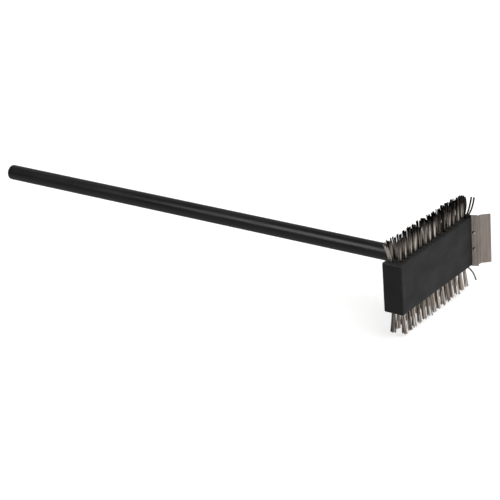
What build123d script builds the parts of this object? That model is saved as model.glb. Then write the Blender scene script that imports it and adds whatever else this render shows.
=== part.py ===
from build123d import *
import os

# Double-sided grill brush: a long round handle set square into the back of an upright
# rectangular head, flat-wire tufts out of the head's top and bottom edges, and a bent
# scraper blade riveted to a bracket on one end of the head.
# Frame: +X along the head towards the scraper, -Y out of the head's front face,
# +Z up, origin at the middle of the front face. Millimetres.

# Head
head_length = 172.0
head_depth = 28.5
head_height = 67.5
head_edge_radius = 2.0

# Handle
handle_diameter = 22.2
handle_reach = 718.0        # from the head's back face to the free end
handle_height = 4.0         # handle axis above the middle of the head
handle_end_radius = 1.5
tenon_diameter = 19.0
tenon_length = 20.0
tenon_chamfer = 0.8
pin_diameter = 3.0
pin_length = 45.0
pin_recess = 0.5

# Wire tufts: two staggered rows on the top and on the bottom of the head
tuft_columns = 14
tuft_pitch = 11.6
row_middle = 14.25          # distance of the middle line between the rows from the front face
row_spacing = 9.5
tuft_hole_diameter = 5.8
tuft_hole_depth = 15.0
tuft_reach = 30.0           # wire length outside the head
tuft_flare = 2.2            # degrees, how far a tuft opens towards its tips

# Flat anchor across the bottom of every tuft hole; its ends bite into the head
anchor_width = 7.4
anchor_thickness = 0.6
anchor_height = 2.5
anchor_lift = 1.2           # above the bottom of the hole

# Scraper bracket: root flat on the head's +X end, flange bent outwards ahead of it
bracket_thickness = 1.2
bracket_height = 72.0
bracket_back = 22.0
bracket_corner = 3.0
bracket_bend = 1.1          # bend line, behind the front face
flange_length = 8.6
flange_angle = 22.0         # of the flange from straight ahead
scraper_raise = 1.0         # scraper middle above the head's middle

# Scraper blade, riveted to the outside of the flange
blade_thickness = 1.0
blade_height = 68.5
blade_root_start = 1.0      # along the flange, from the bracket's bend line
blade_root_end = 8.2
blade_step = 5.3            # outward step behind the scraping flat
blade_step_forward = 0.6
blade_flat = 14.2           # length of the angled scraping flat
blade_angle = 43.0          # of the flat from straight ahead
sheet_bend_radius = 1.6
blade_bevel = 2.0
blade_bevel_depth = 0.6

# Fasteners
rivet_spacing = 23.0
rivet_line = 3.4            # along the flange, from the bracket's bend line
rivet_shank = 3.0
rivet_head_diameter = 4.8
rivet_head_height = 1.3
rivet_tail_diameter = 4.4
rivet_tail_height = 0.9
screw_spacing = 28.0
screw_line = 13.0
screw_shank = 3.6
screw_length = 20.0
screw_head_diameter = 7.6
screw_head_height = 2.4
screw_point = 4.0
screw_slot_width = 1.0
screw_slot_depth = 1.1
dome_rise_share = 0.75      # middle point of a domed head's arc: this share of its height
dome_radius_share = 0.31    # and this share of its diameter from the axis

half_height = head_height / 2
head_end = head_length / 2
bracket_outside = head_end + bracket_thickness
anchor_level = half_height - tuft_hole_depth + anchor_lift + anchor_height / 2
tuft_root_radius = tuft_hole_diameter / 2


def tuft_places(column):
    # The front row stands half a pitch further along +X than the back row.
    middle = (column - (tuft_columns - 1) / 2) * tuft_pitch
    front = (middle + tuft_pitch / 4, row_middle - row_spacing / 2)
    back = (middle - tuft_pitch / 4, row_middle + row_spacing / 2)
    return [front, back]


def edge_plane(side):
    # Plane on the head's top (side 1) or bottom (side -1), facing out of the head.
    return Plane(origin=(0, 0, side * half_height), x_dir=(1, 0, 0), z_dir=(0, 0, side))


all_places = [place for column in range(tuft_columns) for place in tuft_places(column)]
anchor_places = {side: [(x, y, side * anchor_level) for x, y in all_places] for side in (1, -1)}
rivet_heights = [scraper_raise - rivet_spacing / 2, scraper_raise + rivet_spacing / 2]
screw_heights = [-screw_spacing / 2, screw_spacing / 2]
end_face = Plane(origin=(head_end, 0, 0), x_dir=(0, 1, 0), z_dir=(1, 0, 0))

# Middle line of the bent sheets in plan, and the line of each rivet through both sheets
flange_ahead = Vector(0, -1, 0).rotate(Axis.Z, flange_angle)
flange_outward = flange_ahead.rotate(Axis.Z, 90)
blade_ahead = Vector(0, -1, 0).rotate(Axis.Z, blade_angle)
bend_point = Vector(head_end + bracket_thickness / 2, bracket_bend, 0)
blade_line = bend_point + flange_outward * (bracket_thickness + blade_thickness) / 2
rivet_starts = [bend_point + flange_ahead * rivet_line + Vector(0, 0, z) for z in rivet_heights]
rivet_planes = [Plane(origin=start, z_dir=flange_outward) for start in rivet_starts]

os.makedirs("parts", exist_ok=True)


# Handle: a plain round shaft; its shoulder sits on the head and its tenon fills the socket
handle_root = Plane(origin=(0, head_depth, handle_height), x_dir=(1, 0, 0), z_dir=(0, 1, 0))
with BuildPart() as handle:
    with BuildSketch(handle_root):
        Circle(handle_diameter / 2)
    extrude(amount=handle_reach)
    with BuildSketch(handle_root):
        Circle(tenon_diameter / 2)
    extrude(amount=-tenon_length)
    round_edges = handle.edges().filter_by(GeomType.CIRCLE).sort_by(Axis.Y)
    chamfer(round_edges[0], length=tenon_chamfer)
    fillet(round_edges[-1], radius=handle_end_radius)
    with BuildSketch(Plane.XY.offset(-half_height + pin_recess)):
        with Locations((0, row_middle)):
            Circle(pin_diameter / 2)
    extrude(amount=pin_length, mode=Mode.SUBTRACT)
handle.part.label = "handle"
export_step(handle.part, "parts/handle.step")

with BuildPart() as handle_pin:
    with BuildSketch(Plane.XY.offset(-half_height + pin_recess)):
        with Locations((0, row_middle)):
            Circle(pin_diameter / 2)
    extrude(amount=pin_length)
handle_pin.part.label = "handle_pin"
export_step(handle_pin.part, "parts/handle_pin.step")


# Head: block with eased edges, handle socket, pin hole, tuft holes and screw holes
with BuildPart() as head_block:
    with BuildSketch(Plane.XZ):
        Rectangle(head_length, head_height)
    extrude(amount=-head_depth)
    fillet(head_block.edges(), radius=head_edge_radius)
    with BuildSketch(handle_root):
        Circle(tenon_diameter / 2)
    extrude(amount=-tenon_length, mode=Mode.SUBTRACT)
    with BuildSketch(Plane.XY.offset(-half_height)):
        with Locations((0, row_middle)):
            Circle(pin_diameter / 2)
    extrude(amount=pin_length + pin_recess, mode=Mode.SUBTRACT)
    for side in (1, -1):
        with BuildSketch(edge_plane(side)):
            with Locations([(x, side * y) for x, y in all_places]):
                Circle(tuft_root_radius)
        extrude(amount=-tuft_hole_depth, mode=Mode.SUBTRACT)
        with Locations(anchor_places[side]):
            Box(anchor_width, anchor_thickness, anchor_height, mode=Mode.SUBTRACT)
    with BuildSketch(end_face):
        with Locations([(screw_line, z) for z in screw_heights]):
            Circle(screw_shank / 2)
    extrude(amount=-screw_length, mode=Mode.SUBTRACT)
head_block.part.label = "head_block"
export_step(head_block.part, "parts/head_block.step")


# Wire tufts, one node for each pair across the head's thickness
for side, side_name in ((1, "top"), (-1, "bottom")):
    for column in range(tuft_columns):
        with BuildPart() as tufts:
            with BuildSketch(edge_plane(side)) as roots:
                with Locations([(x, side * y) for x, y in tuft_places(column)]):
                    Circle(tuft_root_radius)
            extrude(amount=-tuft_hole_depth)
            extrude(roots.sketch, amount=tuft_reach, taper=-tuft_flare)
            with Locations([(x, y, side * anchor_level) for x, y in tuft_places(column)]):
                Box(anchor_width, anchor_thickness, anchor_height, mode=Mode.SUBTRACT)
        name = f"{side_name}_tufts_{column + 1:02d}"
        tufts.part.label = name
        export_step(tufts.part, f"parts/{name}.step")

    with BuildPart() as anchors:
        with Locations(anchor_places[side]):
            Box(anchor_width, anchor_thickness, anchor_height)
    anchors.part.label = f"{side_name}_tuft_anchors"
    export_step(anchors.part, f"parts/{side_name}_tuft_anchors.step")


# Scraper bracket: flat root on the head's end and a flange bent outwards
with BuildPart() as scraper_bracket:
    with BuildSketch(Plane.XY.offset(scraper_raise - bracket_height / 2)):
        with BuildLine():
            FilletPolyline(
                (bend_point.X, bracket_back),
                bend_point,
                bend_point + flange_ahead * flange_length,
                radius=sheet_bend_radius,
            )
        trace(line_width=bracket_thickness)
    extrude(amount=bracket_height)
    back_corners = scraper_bracket.edges().filter_by(Axis.X).group_by(Axis.Y)[-1]
    fillet(back_corners, radius=bracket_corner)
    with BuildSketch(end_face):
        with Locations([(screw_line, z) for z in screw_heights]):
            Circle(screw_shank / 2)
    extrude(amount=bracket_thickness, mode=Mode.SUBTRACT)
    with BuildSketch(*rivet_planes):
        Circle(rivet_shank / 2)
    extrude(amount=bracket_thickness, both=True, mode=Mode.SUBTRACT)
scraper_bracket.part.label = "scraper_bracket"
export_step(scraper_bracket.part, "parts/scraper_bracket.step")


# Scraper blade: root against the flange, outward step and angled scraping flat
step_start = blade_line + flange_ahead * blade_root_end
step_end = step_start + Vector(blade_step, -blade_step_forward, 0)
with BuildPart() as scraper_blade:
    with BuildSketch(Plane.XY.offset(scraper_raise - blade_height / 2)):
        with BuildLine():
            FilletPolyline(
                blade_line + flange_ahead * blade_root_start,
                step_start,
                step_end,
                step_end + blade_ahead * blade_flat,
                radius=sheet_bend_radius,
            )
        trace(line_width=blade_thickness)
    extrude(amount=blade_height)
    tip_face = scraper_blade.faces().sort_by(Axis.Y)[0]
    inner_tip_edge = tip_face.edges().filter_by(Axis.Z).sort_by(Axis.X)[0]
    chamfer(inner_tip_edge, length=blade_bevel_depth, length2=blade_bevel, reference=tip_face)
    with BuildSketch(*rivet_planes):
        Circle(rivet_shank / 2)
    extrude(amount=bracket_thickness / 2 + blade_thickness, mode=Mode.SUBTRACT)
scraper_blade.part.label = "scraper_blade"
export_step(scraper_blade.part, "parts/scraper_blade.step")


# Rivets that hold the blade to the bracket: domed heads inside, flat tails outside
with BuildPart() as blade_rivets:
    inside = -bracket_thickness / 2
    outside = bracket_thickness / 2 + blade_thickness
    for start in rivet_starts:
        with BuildSketch(Plane(origin=start, x_dir=flange_outward, z_dir=flange_ahead)):
            with BuildLine():
                Polyline(
                    (inside, rivet_head_diameter / 2),
                    (inside, rivet_shank / 2),
                    (outside, rivet_shank / 2),
                    (outside, rivet_tail_diameter / 2),
                    (outside + rivet_tail_height, rivet_tail_diameter / 2),
                    (outside + rivet_tail_height, 0),
                    (inside - rivet_head_height, 0),
                )
                ThreePointArc(
                    (inside - rivet_head_height, 0),
                    (inside - rivet_head_height * dome_rise_share, rivet_head_diameter * dome_radius_share),
                    (inside, rivet_head_diameter / 2),
                )
            make_face()
        revolve(axis=Axis(start, flange_outward))
blade_rivets.part.label = "blade_rivets"
export_step(blade_rivets.part, "parts/blade_rivets.step")


# Slotted wood screws that hold the bracket to the head
with BuildPart() as bracket_screws:
    for height in screw_heights:
        with BuildSketch(Plane(origin=(0, screw_line, height), x_dir=(1, 0, 0), z_dir=(0, 1, 0))):
            with BuildLine():
                Polyline(
                    (bracket_outside, screw_head_diameter / 2),
                    (bracket_outside, screw_shank / 2),
                    (head_end - screw_length + screw_point, screw_shank / 2),
                    (head_end - screw_length, 0),
                    (bracket_outside + screw_head_height, 0),
                )
                ThreePointArc(
                    (bracket_outside + screw_head_height, 0),
                    (
                        bracket_outside + screw_head_height * dome_rise_share,
                        screw_head_diameter * dome_radius_share,
                    ),
                    (bracket_outside, screw_head_diameter / 2),
                )
            make_face()
        revolve(axis=Axis((0, screw_line, height), (1, 0, 0)))
    slot_middle = bracket_outside + screw_head_height - screw_slot_depth / 2
    with Locations([(slot_middle, screw_line, z) for z in screw_heights]):
        Box(screw_slot_depth, screw_head_diameter, screw_slot_width, mode=Mode.SUBTRACT)
bracket_screws.part.label = "bracket_screws"
export_step(bracket_screws.part, "parts/bracket_screws.step")
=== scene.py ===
import bpy
import numpy as np
from mathutils import Matrix, Vector


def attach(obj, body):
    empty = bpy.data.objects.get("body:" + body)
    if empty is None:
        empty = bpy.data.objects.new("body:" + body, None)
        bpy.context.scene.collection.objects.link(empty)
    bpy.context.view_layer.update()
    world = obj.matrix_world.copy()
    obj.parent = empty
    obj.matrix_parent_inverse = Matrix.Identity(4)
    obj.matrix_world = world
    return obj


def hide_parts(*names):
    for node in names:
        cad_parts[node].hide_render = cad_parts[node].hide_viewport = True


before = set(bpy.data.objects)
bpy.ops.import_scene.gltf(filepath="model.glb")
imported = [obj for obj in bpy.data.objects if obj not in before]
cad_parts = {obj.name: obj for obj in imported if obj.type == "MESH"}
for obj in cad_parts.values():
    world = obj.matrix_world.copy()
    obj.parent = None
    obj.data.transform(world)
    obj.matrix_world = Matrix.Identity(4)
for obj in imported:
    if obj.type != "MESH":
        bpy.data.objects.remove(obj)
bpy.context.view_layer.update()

scene = bpy.context.scene
scene.view_settings.view_transform = "Standard"
mmPerMetre = 1000.0
print("frame loaded:", len(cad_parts), "nodes")

# Camera: right and ahead are directions in the part's own frame
cameraSetup = {
    "place": (-1.6752, -1.0293, 0.8916),
    "right": (0.59337, -0.80120, -0.07737),
    "ahead": (0.71828, 0.57043, -0.39834),
    "lens": 122.0,                                   # mm
    "sensor": 36.0,                                  # mm wide
    "clip": (0.05, 50.0),                            # metres
}


def makeCamera(setup):
    ahead = Vector(setup["ahead"]).normalized()
    right = Vector(setup["right"])
    right = (right - ahead * right.dot(ahead)).normalized()
    up = right.cross(ahead)
    turn = Matrix((right, up, -ahead)).transposed().to_4x4()
    data = bpy.data.cameras.new("productCamera")
    data.sensor_width = setup["sensor"]
    data.lens = setup["lens"]
    data.clip_start, data.clip_end = setup["clip"]
    camera = bpy.data.objects.new("productCamera", data)
    scene.collection.objects.link(camera)
    camera.matrix_world = Matrix.Translation(setup["place"]) @ turn
    scene.camera = camera


makeCamera(cameraSetup)
print("camera placed")


# sRGB hex to the linear values that the shaders take
def linearColour(code):
    parts = np.array([int(code[i:i + 2], 16) for i in (1, 3, 5)]) / 255.0
    low, high = parts / 12.92, ((parts + 0.055) / 1.055) ** 2.4
    return (*np.where(parts <= 0.04045, low, high).tolist(), 1.0)


# Adds one node: a setting that is the name or number of an input goes to that input,
# any other goes to the node itself; each link is input: (node, output). In a Mix node,
# inputs 6 and 7 and output 2 are colours, and inputs 2 and 3 and output 0 are plain numbers
def addNode(tree, kind, settings=None, links=None):
    node = tree.nodes.new(kind)
    for key, value in (settings or {}).items():
        if isinstance(key, int) or (key in node.inputs and not hasattr(node, key)):
            node.inputs[key].default_value = value
        else:
            setattr(node, key, value)
    for key, (source, output) in (links or {}).items():
        tree.links.new(source.outputs[output], node.inputs[key])
    return node


def newMaterial(name):
    material = bpy.data.materials.new(name)
    material.use_nodes = True
    tree = material.node_tree
    tree.nodes.clear()
    return material, tree


# Pattern scale for Object coordinates, from the size of one feature in millimetres
def perFeature(sizes):
    return tuple(mmPerMetre / size for size in sizes)


# A pattern with features of the given sizes in millimetres: stretched object coordinates
# through a noise, whose values inside the band are then spread from 0 to 1
def stretchedPattern(tree, place, pattern):
    mapping = addNode(tree, "ShaderNodeMapping", {"Scale": perFeature(pattern["sizes"])},
                      {"Vector": (place, "Object")})
    noise = addNode(tree, "ShaderNodeTexNoise", {"Scale": 1.0, "Detail": pattern["detail"]},
                    {"Vector": (mapping, "Vector")})
    low, high = pattern["band"]
    return addNode(tree, "ShaderNodeMapRange", {"From Min": low, "From Max": high}, {"Value": (noise, "Fac")})


# Beech, sprayed matte black: the grain just shows through as long shallow lines, the spray
# leaves a fine pebble, dust greys it in clouds, and the edges are rubbed a little greyer
headPaint = {
    "colour": "#1f1f20",
    "dustColour": "#252526",
    "rubbedColour": "#353535",
    "coat": {"IOR": 1.46, "Specular IOR Level": 0.3},
    "roughness": {"To Min": 0.56, "To Max": 0.44},   # clean, and in the clouds of dust
    "grain": {"sizes": (46.0, 1.6, 1.6), "detail": 4.0, "band": (0.35, 0.65)},
    "pebble": {"sizes": (0.9, 0.9, 0.9), "detail": 2.0, "band": (0.3, 0.7)},
    "clouds": {"sizes": (34.0, 22.0, 22.0), "detail": 3.0, "band": (0.35, 0.7)},
    "rubs": {"sizes": (5.0, 5.0, 5.0), "detail": 5.0, "band": (0.42, 0.62)},
    "grainRelief": {"Strength": 0.6, "Distance": 0.00010},
    "pebbleRelief": {"Strength": 0.7, "Distance": 0.00003},
    "edgeWidth": 0.0016,                             # metres in from an edge that are rubbed
}
headCorners = np.array(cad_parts["head_block"].bound_box)
headLow, headHigh = headCorners.min(axis=0), headCorners.max(axis=0)
headMiddle, headHalf = (headLow + headHigh) / 2, (headHigh - headLow) / 2


# How near a point is to an edge: 1 on it and 0 at the edge width and beyond. On an edge two of
# the three distances in from the faces are nought, so the middle one of the three says it
def nearEdge(tree, place, width):
    centred = addNode(tree, "ShaderNodeMapping", {"Location": tuple(-headMiddle)},
                      {"Vector": (place, "Object")})
    size = addNode(tree, "ShaderNodeVectorMath", {"operation": "ABSOLUTE"}, {0: (centred, "Vector")})
    inward = addNode(tree, "ShaderNodeVectorMath", {"operation": "SUBTRACT", 0: tuple(headHalf)},
                     {1: (size, "Vector")})
    axes = addNode(tree, "ShaderNodeSeparateXYZ", {}, {"Vector": (inward, "Vector")})
    larger = addNode(tree, "ShaderNodeMath", {"operation": "MAXIMUM"}, {0: (axes, "X"), 1: (axes, "Y")})
    lesser = addNode(tree, "ShaderNodeMath", {"operation": "MINIMUM"}, {0: (axes, "X"), 1: (axes, "Y")})
    capped = addNode(tree, "ShaderNodeMath", {"operation": "MINIMUM"}, {0: (larger, 0), 1: (axes, "Z")})
    middle = addNode(tree, "ShaderNodeMath", {"operation": "MAXIMUM"}, {0: (capped, 0), 1: (lesser, 0)})
    return addNode(tree, "ShaderNodeMapRange", {"From Min": width, "From Max": 0.0}, {"Value": (middle, 0)})


def paintedHeadMaterial(setup):
    material, tree = newMaterial("Beech sprayed matte black")
    place = addNode(tree, "ShaderNodeTexCoord")
    grain, pebble, clouds, rubs = (stretchedPattern(tree, place, setup[name])
                                   for name in ("grain", "pebble", "clouds", "rubs"))
    edge = nearEdge(tree, place, setup["edgeWidth"])
    worn = addNode(tree, "ShaderNodeMath", {"operation": "MULTIPLY"},
                   {0: (edge, "Result"), 1: (rubs, "Result")})
    clean, dusty, rubbed = (linearColour(setup[name]) for name in ("colour", "dustColour", "rubbedColour"))
    dusted = addNode(tree, "ShaderNodeMix", {"data_type": "RGBA", 6: clean, 7: dusty},
                     {0: (clouds, "Result")})
    colour = addNode(tree, "ShaderNodeMix", {"data_type": "RGBA", 7: rubbed},
                     {0: (worn, 0), 6: (dusted, 2)})
    rough = addNode(tree, "ShaderNodeMapRange", setup["roughness"], {"Value": (clouds, "Result")})
    grainBump = addNode(tree, "ShaderNodeBump", setup["grainRelief"], {"Height": (grain, "Result")})
    pebbleBump = addNode(tree, "ShaderNodeBump", setup["pebbleRelief"],
                         {"Height": (pebble, "Result"), "Normal": (grainBump, "Normal")})
    shader = addNode(tree, "ShaderNodeBsdfPrincipled", setup["coat"],
                     {"Base Color": (colour, 2), "Roughness": (rough, "Result"),
                      "Normal": (pebbleBump, "Normal")})
    addNode(tree, "ShaderNodeOutputMaterial", {}, {"Surface": (shader, "BSDF")})
    return material


# Beech dowel, dipped in black lacquer: a smoother, deeper black with one soft streak of
# light along it, broken slightly by the grain, by sags in the lacquer and by handling
handleLacquer = {
    "colour": "#0f0f11",
    "handledColour": "#161618",
    "coat": {"IOR": 1.5, "Specular IOR Level": 0.4},
    "roughness": {"To Min": 0.27, "To Max": 0.40},   # clean, and where it is handled or sags
    "grain": {"sizes": (1.5, 70.0, 1.5), "detail": 4.0, "band": (0.3, 0.7)},
    "scuffs": {"sizes": (2.2, 9.0, 2.2), "detail": 4.0, "band": (0.5, 0.68)},
    "sag": {"sizes": (30.0, 55.0, 30.0), "detail": 2.0, "band": (0.3, 0.7)},
    "grainRelief": {"Strength": 0.5, "Distance": 0.00006},
    "grip": {"From Min": 0.46, "From Max": 0.70},    # metres along it, where the scuffs set in
}


def lacqueredHandleMaterial(setup):
    material, tree = newMaterial("Beech dowel dipped in black lacquer")
    place = addNode(tree, "ShaderNodeTexCoord")
    grain, scuffs, sag = (stretchedPattern(tree, place, setup[name]) for name in ("grain", "scuffs", "sag"))
    axes = addNode(tree, "ShaderNodeSeparateXYZ", {}, {"Vector": (place, "Object")})
    grip = addNode(tree, "ShaderNodeMapRange", setup["grip"], {"Value": (axes, "Y")})
    gripScuffs = addNode(tree, "ShaderNodeMath", {"operation": "MULTIPLY"},
                         {0: (grip, "Result"), 1: (scuffs, "Result")})
    mottled = addNode(tree, "ShaderNodeMath", {"operation": "MAXIMUM"},
                      {0: (gripScuffs, 0), 1: (sag, "Result")})
    clean, handled = linearColour(setup["colour"]), linearColour(setup["handledColour"])
    colour = addNode(tree, "ShaderNodeMix", {"data_type": "RGBA", 6: clean, 7: handled}, {0: (mottled, 0)})
    rough = addNode(tree, "ShaderNodeMapRange", setup["roughness"], {"Value": (mottled, 0)})
    bump = addNode(tree, "ShaderNodeBump", setup["grainRelief"], {"Height": (grain, "Result")})
    shader = addNode(tree, "ShaderNodeBsdfPrincipled", setup["coat"],
                     {"Base Color": (colour, 2), "Roughness": (rough, "Result"), "Normal": (bump, "Normal")})
    addNode(tree, "ShaderNodeOutputMaterial", {}, {"Surface": (shader, "BSDF")})
    return material


# Flat spring steel wire, drawn and tempered: warm grey-brown, with drawing lines along it
# (drawn coarser than real ones, to show), one wire darker than the next, and painted shade
# that darkens it unevenly towards the cut tip. The attribute "along" says how far into the
# painted shade a point is, and "tone" how pale its wire is, around a mean paleness that is
# painted light and shade
wireSteel = {
    "paleColour": "#efe6dd",
    "darkColour": "#7d736b",
    # Painted shade: the colour that the wires darken to towards their tips
    "tipShadeColour": "#332f2c",
    "tip": {"From Min": 0.55, "From Max": 0.98, "To Max": 0.96},
    "unevenShare": 0.15,
    "roughness": {"To Min": 0.30, "To Max": 0.48},
    "lines": {"sizes": (0.35, 0.35, 14.0), "detail": 3.0, "band": (0.3, 0.7)},
    "blotches": {"sizes": (3.0, 3.0, 6.0), "detail": 4.0, "band": (0.35, 0.68)},
    "relief": {"Strength": 0.4, "Distance": 0.00003},
}


def wireMaterial(setup):
    material, tree = newMaterial("Flat spring steel wire, drawn and tempered")
    place = addNode(tree, "ShaderNodeTexCoord")
    along = addNode(tree, "ShaderNodeAttribute", {"attribute_name": "along"})
    tone = addNode(tree, "ShaderNodeAttribute", {"attribute_name": "tone"})
    lines, blotches = (stretchedPattern(tree, place, setup[name]) for name in ("lines", "blotches"))
    dark, pale, black = (linearColour(setup[name]) for name in ("darkColour", "paleColour", "tipShadeColour"))
    steel = addNode(tree, "ShaderNodeMix", {"data_type": "RGBA", 6: dark, 7: pale}, {0: (tone, "Fac")})
    # Painted shade towards the tip, made uneven by random blotches
    tip = addNode(tree, "ShaderNodeMapRange", setup["tip"], {"Value": (along, "Fac")})
    uneven = addNode(tree, "ShaderNodeMath", {"operation": "MULTIPLY_ADD", 1: setup["unevenShare"]},
                     {0: (blotches, "Result"), 2: (tip, "Result")})
    capped = addNode(tree, "ShaderNodeMath", {"operation": "MINIMUM", 1: 1.0}, {0: (uneven, 0)})
    colour = addNode(tree, "ShaderNodeMix", {"data_type": "RGBA", 7: black},
                     {0: (capped, 0), 6: (steel, 2)})
    rough = addNode(tree, "ShaderNodeMapRange", setup["roughness"], {"Value": (lines, "Result")})
    bump = addNode(tree, "ShaderNodeBump", setup["relief"], {"Height": (lines, "Result")})
    shader = addNode(tree, "ShaderNodeBsdfPrincipled", {"Metallic": 1.0},
                     {"Base Color": (colour, 2), "Roughness": (rough, "Result"), "Normal": (bump, "Normal")})
    addNode(tree, "ShaderNodeOutputMaterial", {}, {"Surface": (shader, "BSDF")})
    return material


# Sheet and small metal parts: rolled stainless with lines along the strip, plated steel that
# is brighter and smoother, and plain strip. Real lines are too fine to show, so they are
# drawn as coarse as they need to be
metalFinishes = {
    "scraper": {
        "name": "Stainless sheet, rolled and brushed", "pale": "#b4aaa4", "dark": "#908781",
        "lines": {"sizes": (0.7, 0.7, 60.0), "detail": 3.0, "band": (0.3, 0.7)},
        "stainShare": 0.25, "roughness": {"To Min": 0.30, "To Max": 0.46}},
    "fastener": {
        "name": "Steel, cold headed and zinc plated", "pale": "#d2d0ce", "dark": "#9a9895",
        "lines": {"sizes": (0.8, 0.8, 0.8), "detail": 3.0, "band": (0.3, 0.7)},
        "stainShare": 0.6, "roughness": {"To Min": 0.16, "To Max": 0.30}},
    "inner": {
        "name": "Steel strip, sheared and left plain", "pale": "#a3a2a1", "dark": "#6f6d6b",
        "lines": {"sizes": (4.0, 0.5, 0.5), "detail": 3.0, "band": (0.3, 0.7)},
        "stainShare": 0.6, "roughness": {"To Min": 0.35, "To Max": 0.50}},
}
metalStains = {"sizes": (9.0, 9.0, 14.0), "detail": 4.0, "band": (0.4, 0.72)}
metalRelief = {"Strength": 0.4, "Distance": 0.00003}


def metalMaterial(setup):
    material, tree = newMaterial(setup["name"])
    place = addNode(tree, "ShaderNodeTexCoord")
    lines = stretchedPattern(tree, place, setup["lines"])
    stains = stretchedPattern(tree, place, metalStains)
    both = addNode(tree, "ShaderNodeMix", {"data_type": "FLOAT", 0: setup["stainShare"]},
                   {2: (lines, "Result"), 3: (stains, "Result")})
    pale, dark = linearColour(setup["pale"]), linearColour(setup["dark"])
    colour = addNode(tree, "ShaderNodeMix", {"data_type": "RGBA", 6: pale, 7: dark}, {0: (both, 0)})
    rough = addNode(tree, "ShaderNodeMapRange", setup["roughness"], {"Value": (lines, "Result")})
    bump = addNode(tree, "ShaderNodeBump", metalRelief, {"Height": (lines, "Result")})
    shader = addNode(tree, "ShaderNodeBsdfPrincipled", {"Metallic": 1.0},
                     {"Base Color": (colour, 2), "Roughness": (rough, "Result"), "Normal": (bump, "Normal")})
    addNode(tree, "ShaderNodeOutputMaterial", {}, {"Surface": (shader, "BSDF")})
    return material


def finishNode(name, material):
    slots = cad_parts[name].data.materials
    slots.clear()
    slots.append(material)


scraperSteel, fastenerSteel, innerSteel = (
    metalMaterial(metalFinishes[kind]) for kind in ("scraper", "fastener", "inner"))
finishNode("head_block", paintedHeadMaterial(headPaint))
finishNode("handle", lacqueredHandleMaterial(handleLacquer))
for name in ("scraper_bracket", "scraper_blade"):
    finishNode(name, scraperSteel)
for name in ("blade_rivets", "bracket_screws"):
    finishNode(name, fastenerSteel)
for name in ("handle_pin", "top_tuft_anchors", "bottom_tuft_anchors"):
    finishNode(name, innerSteel)
print("materials made")


# Wire tufts, in millimetres: every wire is a flat strip that comes nearly straight out of its
# hole and then bends outwards, the more the further it is from the middle of its bundle.
# A pair under top or bottom is for the first and last column, or in rowLean for the front
# and back row
tuftSetup = {
    "columns": 14, "pitch": 11.6, "rowSpacing": 9.5,
    "rowMiddle": headMiddle[1] * mmPerMetre, "headTop": headHigh[2] * mmPerMetre,
    "layers": (-1.8, -0.6, 0.6, 1.8),                # places across the hole, front to back
    "wiresInLayer": (2, 3, 3, 2),
    "wireSpacing": 1.7,
    "width": 1.8, "widthScatter": 0.15, "thickness": 0.42,
    "rootDepth": 6.0,                                # below the mouth of the hole
    "rootSqueeze": 0.82,                             # draws the roots in from those places
    "frontReach": {"top": (26.8, 32.4), "bottom": (31.6, 30.2)},
    "backReach": {"top": (29.2, 27.0), "bottom": (29.8, 29.2)},
    "reachScatter": (-0.9, 0.54),
    "dome": 0.16,                                    # mm lower for each mm squared from the middle
    "fan": (0.30, 0.75),                             # along and across, for each mm from the middle
    "rowLean": {"top": (0.0, 0.9), "bottom": (-2.2, 2.2)},
    "lean": {"top": -1.2, "bottom": 0.0}, "leanScatter": 0.65,
    "endLean": {"top": (-0.8, 0.8), "bottom": (-0.6, 1.0)},
    "endFade": 6,                                    # power by which endLean fades inwards
    "belly": 0.13, "bellyScatter": 0.096,            # share of the lean that the middle lags, and mm
    "twistScatter": 0.38, "tipTwist": 0.30,          # radians
    "twistKept": 0.5,                                # share of the root's angle added to the tip's
    "cutSlope": 0.5,
    # Painted shade on the wires: how far down from the tip it reaches, for the first and last column
    "tipShade": {"top": (0.88, 1.25), "bottom": (0.72, 0.64)}, # higher is black further down
    # Painted light and shade: the wires' mean paleness for the first and last column, falling along the top
    # row and rising along the bottom; toneScatter is the random tone around it
    "palenessAndShade": {"top": (0.64, 0.28), "bottom": (0.38, 0.80)}, "toneScatter": 0.34,
    "sections": 8,
}

# Wires that have worked loose from the end bundles: the three points that each one follows,
# in millimetres, and how deep the painted shade on it is, evenly from end to end
strayWires = {
    "top_tufts_14": {"shadeDepth": 1.1, "routes": [
        ((79.4, 8.2, 33.6), (84.9, 1.0, 42.0), (87.3, -4.0, 62.4)),
        ((79.2, 8.4, 33.6), (82.5, 3.2, 42.0), (83.7, -2.0, 64.0)),
        ((77.4, 9.9, 27.75), (82.6, 6.4, 46.0), (81.2, 6.0, 63.4)),
        ((77.6, 9.8, 27.75), (81.2, 7.4, 46.0), (80.0, 7.4, 65.0)),
        ((78.6, 9.3, 27.75), (75.8, 11.4, 46.0), (74.8, 12.0, 65.6)),
        ((78.8, 9.2, 27.75), (74.8, 12.4, 46.0), (72.4, 13.4, 64.6))]},
    "top_tufts_01": {"shadeDepth": 0.70, "routes": [
        ((-78.3, 19.2, 27.75), (-81.4, 22.4, 45.0), (-84.4, 25.2, 58.6)),
        ((-78.4, 18.6, 27.75), (-81.8, 20.6, 45.0), (-85.4, 22.6, 57.0)),
        ((-78.2, 19.3, 27.75), (-80.2, 22.8, 45.0), (-82.2, 24.6, 60.2)),
        ((-78.5, 18.2, 27.75), (-81.6, 18.8, 45.0), (-84.6, 20.2, 55.0))]},
    "bottom_tufts_01": {"shadeDepth": 0.78, "routes": [
        ((-78.3, 19.0, -27.75), (-80.6, 18.6, -46.0), (-84.0, 18.0, -61.0))]},
    "bottom_tufts_14": {"shadeDepth": 0.78, "routes": [
        ((79.4, 8.2, -33.6), (86.0, 1.6, -42.5), (90.0, -2.0, -56.6))]},
}
strayShape = {"turn": -0.9, "width": 2.2}            # radians about the wire, mm


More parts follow.
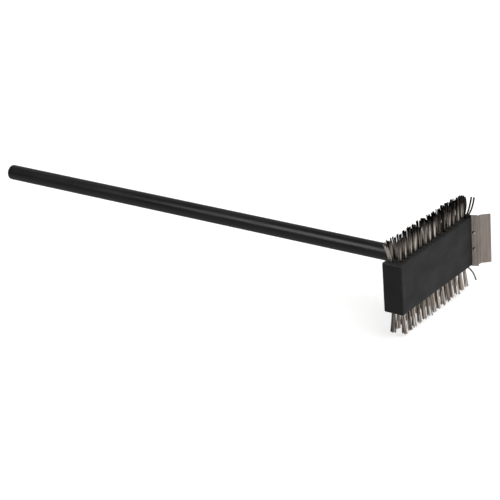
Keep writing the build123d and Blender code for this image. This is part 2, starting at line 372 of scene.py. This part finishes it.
# Flat strips along curves. The middle line is the parabola through three points a, b and c
# at t = 0, 1/2 and 1: a(1-t)(1-2t) + 4bt(1-t) + ct(2t-1). At each t the four corners of the
# section are plus and minus half the width and half the thickness, along two directions
# square to the line that turn about it from the first angle to the second. The last section
# is slanted along the line by the cut.
def flatStrips(a, b, c, angles, widths, cuts, setup):
    t = np.linspace(0.0, 1.0, setup["sections"])[None, :, None]
    a, b, c = (p[:, None, :] for p in (a, b, c))
    line = a * (1 - t) * (1 - 2 * t) + 4 * b * t * (1 - t) + c * t * (2 * t - 1)
    slope = a * (4 * t - 3) + 4 * b * (1 - 2 * t) + c * (4 * t - 1)
    slope /= np.linalg.norm(slope, axis=2, keepdims=True)
    turn = (angles[:, :1] + (angles[:, 1:] - angles[:, :1]) * t[0, :, 0])[..., None]
    alongX = np.array([1.0, 0.0, 0.0]) - slope * slope[..., :1]
    alongX /= np.linalg.norm(alongX, axis=2, keepdims=True)
    across = np.cross(slope, alongX)
    facing = alongX * np.cos(turn) + across * np.sin(turn)
    wide = facing * widths[:, None, None] / 2
    thick = np.cross(slope, facing) * setup["thickness"] / 2
    corners = np.stack([line - wide - thick, line + wide - thick,
                        line + wide + thick, line - wide + thick], axis=2)
    slant = slope[:, -1] * cuts[:, None]
    corners[:, -1, 0] -= slant
    corners[:, -1, 3] -= slant
    corners[:, -1, 1] += slant
    corners[:, -1, 2] += slant
    return corners


# Joins each strip's rings of four corners with quads, and closes both ends
def stripFaces(strips, sections):
    ring = np.arange(4)
    start = (np.arange(strips)[:, None, None] * sections + np.arange(sections - 1)[None, :, None]) * 4
    near, nextOne = start + ring, start + (ring + 1) % 4
    sides = np.stack([near, nextOne, nextOne + 4, near + 4], axis=-1).reshape(-1, 4)
    first = np.arange(strips)[:, None] * sections * 4
    last = first + (sections - 1) * 4
    return np.concatenate([sides, first + ring[::-1], last + ring])


# One mesh of many strips. The painted shade, as the value of "along", is given at each strip's root and tip
def meshPiece(name, corners, tones, paintedShade, material):
    strips, sections = corners.shape[:2]
    faces = stripFaces(strips, sections)
    mesh = bpy.data.meshes.new(name)
    mesh.from_pydata((corners.reshape(-1, 3) / mmPerMetre).tolist(), [], faces.tolist())
    start, end = paintedShade[:, :1], paintedShade[:, 1:]
    along = start + (end - start) * np.linspace(0.0, 1.0, sections)
    along = np.broadcast_to(along[..., None], corners.shape[:3])
    tone = np.broadcast_to(tones[:, None, None], corners.shape[:3])
    for label, values in (("along", along), ("tone", tone)):
        layer = mesh.attributes.new(label, "FLOAT", "POINT")
        layer.data.foreach_set("value", np.ascontiguousarray(values, dtype=np.float32).ravel())
    mesh.materials.append(material)
    mesh.update()
    piece = bpy.data.objects.new(name, mesh)
    scene.collection.objects.link(piece)
    return piece


# Root, middle and tip of each wire in one column's two bundles
def tuftWires(side, column, setup, chance):
    sideName = "top" if side > 0 else "bottom"
    share = column / (setup["columns"] - 1)
    middle = (column - (setup["columns"] - 1) / 2) * setup["pitch"]
    offsets = np.array([((k - (count - 1) / 2) * setup["wireSpacing"], layer)
                        for count, layer in zip(setup["wiresInLayer"], setup["layers"])
                        for k in range(count)])
    firstLean, lastLean = setup["endLean"][sideName]
    roots, tips = [], []
    for row in (-1, 1):
        centre = np.array([middle - row * setup["pitch"] / 4,
                           setup["rowMiddle"] + row * setup["rowSpacing"] / 2])
        count = len(offsets)
        firstReach, lastReach = setup["frontReach" if row < 0 else "backReach"][sideName]
        reach = firstReach + (lastReach - firstReach) * share
        outward = offsets * np.array(setup["fan"]) + chance.normal(0.0, setup["leanScatter"], (count, 2))
        outward[:, 1] += setup["rowLean"][sideName][(row + 1) // 2]
        outward[:, 0] += setup["lean"][sideName]
        outward[:, 0] += firstLean * (1 - share) ** setup["endFade"] + lastLean * share ** setup["endFade"]
        heights = setup["headTop"] + reach + chance.uniform(*setup["reachScatter"], count)
        heights -= setup["dome"] * (offsets ** 2).sum(axis=1)
        flat = centre + offsets * setup["rootSqueeze"]
        roots.append(np.column_stack([flat, np.full(count, setup["headTop"] - setup["rootDepth"])]))
        tips.append(np.column_stack([flat + outward, heights]))
    roots, tips = np.concatenate(roots), np.concatenate(tips)
    bend = (roots + tips) / 2
    bend[:, :2] -= (tips - roots)[:, :2] * setup["belly"]
    bend[:, :2] -= chance.normal(0.0, setup["bellyScatter"], (len(roots), 2))
    for points in (roots, bend, tips):
        points[:, 2] *= side
    return roots, bend, tips


steelWire = wireMaterial(wireSteel)
chance = np.random.default_rng(7)
for side, sideName in ((1, "top"), (-1, "bottom")):
    for column in range(tuftSetup["columns"]):
        node = f"{sideName}_tufts_{column + 1:02d}"
        a, b, c = tuftWires(side, column, tuftSetup, chance)
        loose = strayWires.get(node, {"shadeDepth": 0.0, "routes": []})
        for route in loose["routes"]:
            a, b, c = (np.vstack([points, extra]) for points, extra in zip((a, b, c), route))
        count, strays = len(a), len(loose["routes"])
        share = column / (tuftSetup["columns"] - 1)
        angles = chance.normal(0.0, tuftSetup["twistScatter"], (count, 2))
        angles[:, 1] += angles[:, 0] * tuftSetup["twistKept"]
        angles[:, 1] += chance.normal(0.0, tuftSetup["tipTwist"], count)
        angles[count - strays:] = strayShape["turn"] * side
        cuts = chance.normal(0.0, tuftSetup["cutSlope"], count)
        widths = chance.normal(tuftSetup["width"], tuftSetup["widthScatter"], count)
        widths[count - strays:] = strayShape["width"]
        # Painted light and shade: the mean paleness of the wires changes along each row and between top and
        # bottom
        palenessAndShade = np.interp(share, (0.0, 1.0), tuftSetup["palenessAndShade"][sideName])
        tones = np.clip(chance.normal(palenessAndShade, tuftSetup["toneScatter"], count), 0.0, 1.0)
        tipShade = np.interp(share, (0.0, 1.0), tuftSetup["tipShade"][sideName])
        # Painted shade: the value of "along" at root and tip, and the same all along the loose wires
        paintedShade = np.tile((0.0, tipShade), (count, 1))
        paintedShade[count - strays:] = loose["shadeDepth"]
        corners = flatStrips(a, b, c, angles, widths, cuts, tuftSetup)
        piece = meshPiece(f"{node}_wires", corners, tones, paintedShade, steelWire)
        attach(piece, "root")
        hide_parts(node)
print("tufts made")


# Studio: a pale light table under the lowest wires, glowing a little so that shadows stay
# faint, a large soft light above and in front, a weaker one behind, and a narrow soft
# light that draws the streak along the handle
lightTable = {
    "colour": "#9c9c9b",
    "glowColour": "#ffffff",
    "glow": 0.66,
    "roughness": 0.9,
    "grit": {"sizes": (2.0, 2.0, 2.0), "detail": 3.0, "band": (0.3, 0.7)},
    "gritRelief": {"Strength": 0.1, "Distance": 0.0001},
    "level": -0.0676,
    "size": 60.0,
}
softLights = {
    "overheadKey": {"place": (1.7, -2.3, 4.4), "aim": (0.0, 0.4, 0.0), "size": (7.0, 7.0), "watts": 560.0,
                    "hiddenFrom": "visible_glossy"},
    "backFill": {"place": (-0.3, 3.4, 1.5), "aim": (0.0, 0.2, 0.0), "size": (2.0, 2.0), "watts": 95.0,
                 "hiddenFrom": "visible_glossy"},
    "handleStrip": {"place": (-0.82, 0.62, 0.69), "aim": (0.0, 0.10, 0.0), "size": (0.9, 0.56), "watts": 5.8,
                    "hiddenFrom": "visible_diffuse"},
}


def makeLightTable(setup):
    material, tree = newMaterial("Opal acrylic light table, sanded")
    place = addNode(tree, "ShaderNodeTexCoord")
    grit = stretchedPattern(tree, place, setup["grit"])
    bump = addNode(tree, "ShaderNodeBump", setup["gritRelief"], {"Height": (grit, "Result")})
    shader = addNode(tree, "ShaderNodeBsdfPrincipled",
                     {"Base Color": linearColour(setup["colour"]), "Roughness": setup["roughness"],
                      "Emission Color": linearColour(setup["glowColour"]),
                      "Emission Strength": setup["glow"]}, {"Normal": (bump, "Normal")})
    addNode(tree, "ShaderNodeOutputMaterial", {}, {"Surface": (shader, "BSDF")})
    half, level = setup["size"] / 2, setup["level"]
    mesh = bpy.data.meshes.new("lightTable")
    mesh.from_pydata([(-half, -half, level), (half, -half, level), (half, half, level), (-half, half, level)],
                     [], [(0, 1, 2, 3)])
    mesh.materials.append(material)
    table = bpy.data.objects.new("lightTable", mesh)
    # The room stands in for the table in reflections and in the light that it throws back
    table.visible_glossy = False
    table.visible_diffuse = False
    scene.collection.objects.link(table)


# The room, by the direction that it is seen in: below eye level it is pale, brighter in front
# than behind and dark in the corner behind the scraper, and above it is dim, with a paler wall
# on the scraper's side
roomSetup = {
    "colour": (1.0, 0.985, 0.97, 1.0),
    "below": {"From Min": 0.8, "From Max": -0.8, "To Min": 0.40, "To Max": 0.76},
    "corner": {"From Min": 0.45, "From Max": 1.15, "To Min": 1.0, "To Max": 0.12},
    "above": {"From Min": 0.05, "From Max": 0.40, "To Min": 0.13, "To Max": 0.30},
    "eyeLevel": {"From Min": -0.15, "From Max": 0.10},
}


def makeRoom(setup):
    world = bpy.data.worlds.new("studioRoom")
    world.use_nodes = True
    scene.world = world
    tree = world.node_tree
    tree.nodes.clear()
    place = addNode(tree, "ShaderNodeTexCoord")
    axes = addNode(tree, "ShaderNodeSeparateXYZ", {}, {"Vector": (place, "Generated")})
    below = addNode(tree, "ShaderNodeMapRange", setup["below"], {"Value": (axes, "Y")})
    cornerward = addNode(tree, "ShaderNodeMath", {"operation": "ADD"}, {0: (axes, "X"), 1: (axes, "Y")})
    corner = addNode(tree, "ShaderNodeMapRange", setup["corner"], {"Value": (cornerward, 0)})
    belowLevel = addNode(tree, "ShaderNodeMath", {"operation": "MULTIPLY"},
                         {0: (below, "Result"), 1: (corner, "Result")})
    above = addNode(tree, "ShaderNodeMapRange", setup["above"], {"Value": (axes, "X")})
    height = addNode(tree, "ShaderNodeMapRange", setup["eyeLevel"], {"Value": (axes, "Z")})
    level = addNode(tree, "ShaderNodeMix", {"data_type": "FLOAT"},
                    {0: (height, "Result"), 2: (belowLevel, 0), 3: (above, "Result")})
    light = addNode(tree, "ShaderNodeBackground", {"Color": setup["colour"]}, {"Strength": (level, 0)})
    addNode(tree, "ShaderNodeOutputWorld", {}, {"Surface": (light, "Background")})


def makeLight(name, setup):
    data = bpy.data.lights.new(name, "AREA")
    data.shape = "RECTANGLE"
    data.size, data.size_y = setup["size"]
    data.energy = setup["watts"]
    light = bpy.data.objects.new(name, data)
    scene.collection.objects.link(light)
    setattr(light, setup["hiddenFrom"], False)
    place = Vector(setup["place"])
    facing = (Vector(setup["aim"]) - place).to_track_quat("-Z", "Y")
    light.matrix_world = Matrix.Translation(place) @ facing.to_matrix().to_4x4()


makeLightTable(lightTable)
makeRoom(roomSetup)
for name, setup in softLights.items():
    makeLight(name, setup)
print("studio lit")
